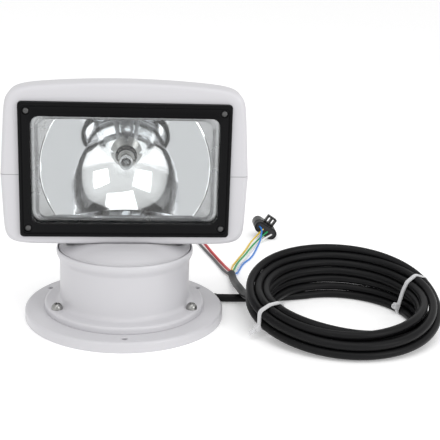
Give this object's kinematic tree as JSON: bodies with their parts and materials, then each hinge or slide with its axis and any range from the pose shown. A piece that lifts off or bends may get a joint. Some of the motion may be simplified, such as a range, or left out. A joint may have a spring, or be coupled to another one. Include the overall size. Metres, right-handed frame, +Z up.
{
  "type": "marine searchlight",
  "caption": "Remote-controlled marine searchlight: rectangular lamp head that tilts in a yoke on a turning round pedestal with a deck flange, with a coiled multi-core cable and connector.",
  "frame": {"origin": "centre of the base flange on the deck it is screwed to", "axes": "+Z up along the pan axis, -Y the way the lamp looks at rest, +X to the right seen from in front"},
  "size_m": [0.361, 0.333, 0.199],
  "materials": {
    "white_gloss": "white gloss moulding",
    "black_gloss": "black gloss",
    "rubber": "matt",
    "grey_rubber": "matt",
    "stainless": "bright",
    "motor_steel": "plated",
    "yoke_alloy": "cast",
    "brass": "machined",
    "bush_plastic": "moulded",
    "grey_plastic": "moulded",
    "ivory_plastic": "moulded",
    "clear_glass": "clear",
    "bulb_glass": "clear",
    "mirror_coat": "vacuum plated",
    "cable_black": "smooth sheath",
    "wire_red": "insulation",
    "wire_black": "insulation",
    "wire_yellow": "insulation",
    "wire_green": "insulation",
    "wire_white": "insulation",
    "wire_blue": "insulation",
    "connector_black": "moulded",
    "tie_white": "nylon"
  },
  "bodies": {
    "base": {"base_flange": "white_gloss", "column": "white_gloss", "base_seal": "rubber", "base_screws": "stainless", "bottom_cover": "grey_plastic", "cable_grommet": "rubber", "terminal_block": "ivory_plastic", "pan_motor": "motor_steel", "pan_bush": "bush_plastic", "cable_lead": "cable_black", "cable_coil": "cable_black", "cable_tail": "cable_black", "wire_red": "wire_red", "wire_black": "wire_black", "wire_yellow": "wire_yellow", "wire_green": "wire_green", "wire_white": "wire_white", "wire_blue": "wire_blue", "connector_body": "connector_black", "connector_seal": "rubber", "cable_tie_front": "tie_white", "cable_tie_back": "tie_white"},
    "turntable": {"turntable": "white_gloss", "pan_gear": "bush_plastic", "retaining_ring": "stainless", "yoke_arm_left": "yoke_alloy", "yoke_arm_right": "yoke_alloy", "arm_screws": "stainless", "tilt_sector": "bush_plastic"},
    "head": {"upper_shell": "white_gloss", "lower_shell": "white_gloss", "seam_gasket": "grey_rubber", "shell_screws": "stainless", "bezel": "black_gloss", "bezel_screws": "stainless", "lens_gasket": "rubber", "lens": "clear_glass", "reflector": "mirror_coat", "bulb": "bulb_glass", "bulb_holder": "ivory_plastic", "bulb_clip": "stainless", "trunnion_pins": "stainless", "tilt_motor": "motor_steel", "tilt_bracket": "stainless"},
    "pan_pinion": {"pan_pinion": "brass"},
    "tilt_pinion": {"tilt_pinion": "brass"}
  },
  "joints": [
    {"name": "pan", "type": "hinge", "parent": "base", "child": "turntable", "pos_m": [0, 0, 0.06], "axis": [0, 0, 1], "range_deg": [-180, 180]},
    {"name": "tilt", "type": "hinge", "parent": "turntable", "child": "head", "pos_m": [0, 0.006, 0.126], "axis": [-1, 0, 0], "range_deg": [-15, 45]},
    {"name": "pan_pinion_spin", "type": "hinge", "parent": "base", "child": "pan_pinion", "pos_m": [-0.03524, -0.01283, 0.034], "axis": [0, 0, 1], "range_deg": [-730, 730]},
    {"name": "tilt_pinion_spin", "type": "hinge", "parent": "head", "child": "tilt_pinion", "pos_m": [0.07, 0.04, 0.126], "axis": [-1, 0, 0], "range_deg": [-60, 180]}
  ],
  "couplings": [
    {"joint": "pan_pinion_spin", "follows": "pan", "ratio": -4},
    {"joint": "tilt_pinion_spin", "follows": "tilt", "ratio": 3.8571}
  ]
}
